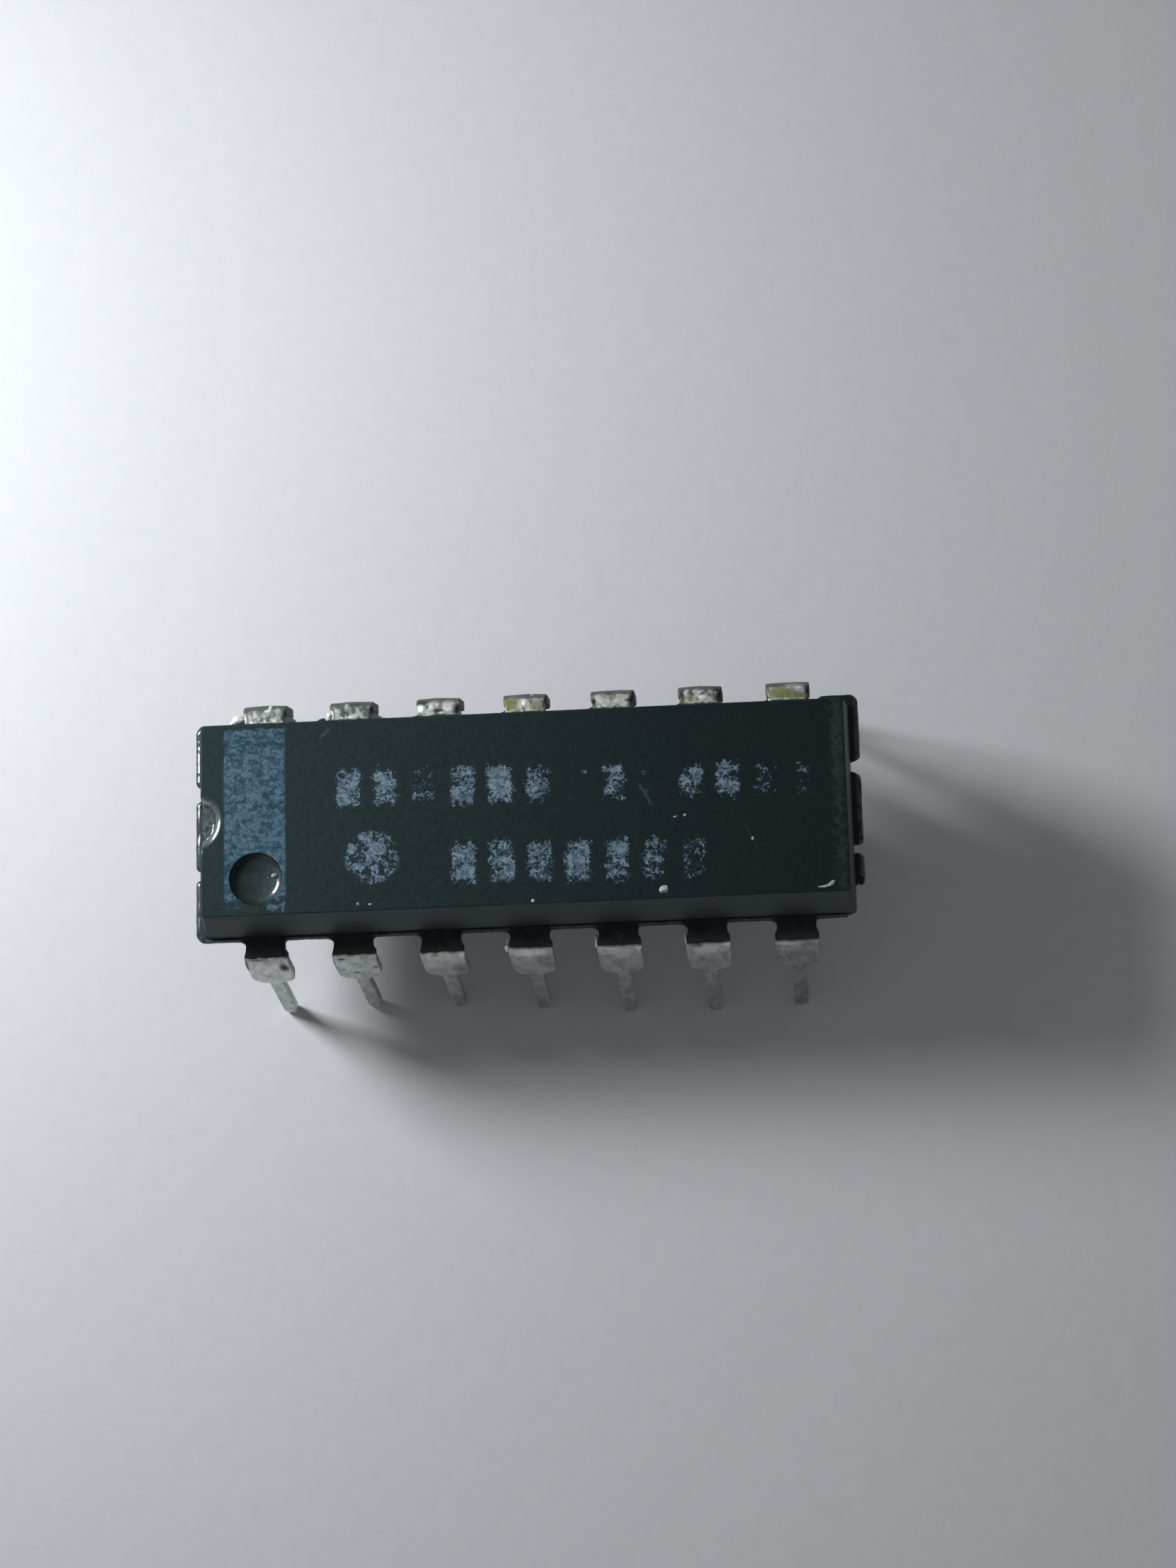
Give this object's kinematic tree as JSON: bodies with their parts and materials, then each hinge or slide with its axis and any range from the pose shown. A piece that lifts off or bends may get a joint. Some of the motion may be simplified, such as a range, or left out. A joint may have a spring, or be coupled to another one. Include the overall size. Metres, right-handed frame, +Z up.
{
  "type": "dual in-line integrated circuit",
  "caption": "Moulded plastic dual in-line chip with an end notch, a dimple at the first pin and two rows of bent, solder-dipped through-hole leads.",
  "frame": {"origin": "on the surface that the pin tips stand on, midway between the two rows and midway along them", "axes": "+X along the rows, from the notched end towards the plain end; +Y from the row of the first pin to the other row; +Z up, out of the top face"},
  "size_m": [0.0192, 0.0096, 0.0068],
  "materials": {
    "moulding": "fine-grained black epoxy moulding with a pale blue ink band and worn print",
    "tinned_lead": "stamped copper alloy, dull dark at the neck and dipped in lumpy grey-white solder below the bend",
    "frame_copper": "bare stamped copper alloy",
    "adhesive": "silver-filled adhesive",
    "silicon": "polished silicon",
    "gold_wire": "drawn gold wire"
  },
  "bodies": {
    "root": {"body": "moulding", "lead_1": "tinned_lead", "lead_2": "tinned_lead", "lead_3": "tinned_lead", "lead_4": "tinned_lead", "lead_5": "tinned_lead", "lead_6": "tinned_lead", "lead_7": "tinned_lead", "lead_8": "tinned_lead", "lead_9": "tinned_lead", "lead_10": "tinned_lead", "lead_11": "tinned_lead", "lead_12": "tinned_lead", "lead_13": "tinned_lead", "lead_14": "tinned_lead", "die_pad": "frame_copper", "die_attach": "adhesive", "die": "silicon", "bond_wire_1": "gold_wire", "bond_wire_2": "gold_wire", "bond_wire_3": "gold_wire", "bond_wire_4": "gold_wire", "bond_wire_5": "gold_wire", "bond_wire_6": "gold_wire", "bond_wire_7": "gold_wire", "bond_wire_8": "gold_wire", "bond_wire_9": "gold_wire", "bond_wire_10": "gold_wire", "bond_wire_11": "gold_wire", "bond_wire_12": "gold_wire", "bond_wire_13": "gold_wire", "bond_wire_14": "gold_wire"}
  },
  "joints": []
}
